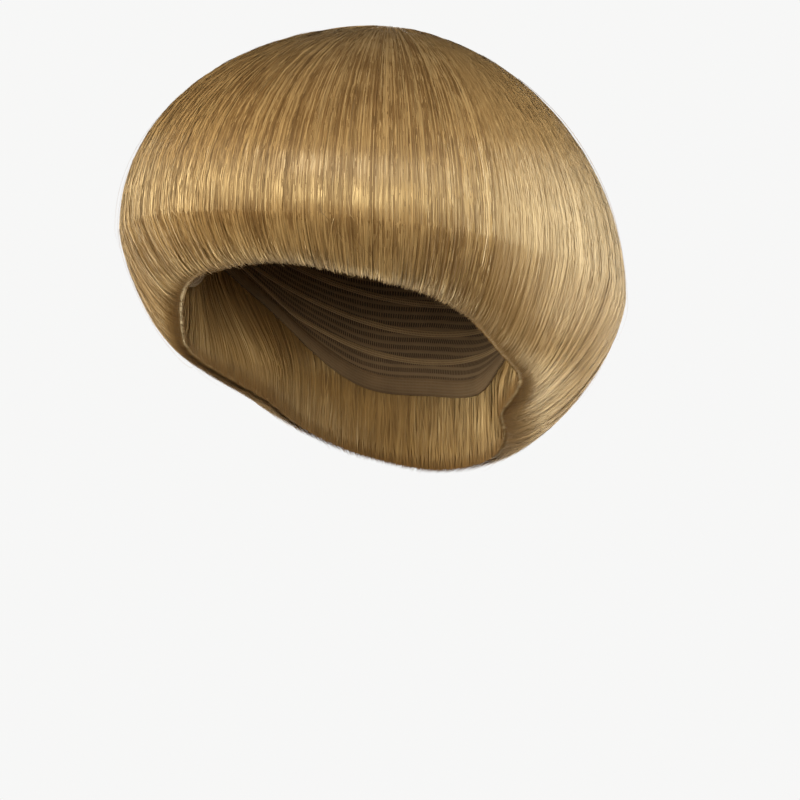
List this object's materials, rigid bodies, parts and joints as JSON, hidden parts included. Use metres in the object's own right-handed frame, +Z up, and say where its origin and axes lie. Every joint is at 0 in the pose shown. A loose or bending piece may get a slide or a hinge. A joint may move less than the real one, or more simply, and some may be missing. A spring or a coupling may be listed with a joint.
{
  "type": "bowl cut wig",
  "caption": "Bowl cut wig of straight glossy blond hair over a thin fitted cap, full and rounded, with a level fringe, ends rolled under to the head and a low nape.",
  "frame": {"origin": "the inside of the cap's crown, where the top of the wearer's head meets it", "axes": "+Z up, the wearer faces -Y, +X is the wearer's left"},
  "size_m": [0.2095, 0.2398, 0.2014],
  "materials": {
    "hair": "straight glossy synthetic hair, dark golden blond",
    "cap": "matt stretch net"
  },
  "bodies": {
    "root": {"wig_cap": "cap", "crown_whorl": "hair", "fringe": "hair", "side_left": "hair", "side_right": "hair", "back": "hair"}
  },
  "joints": []
}
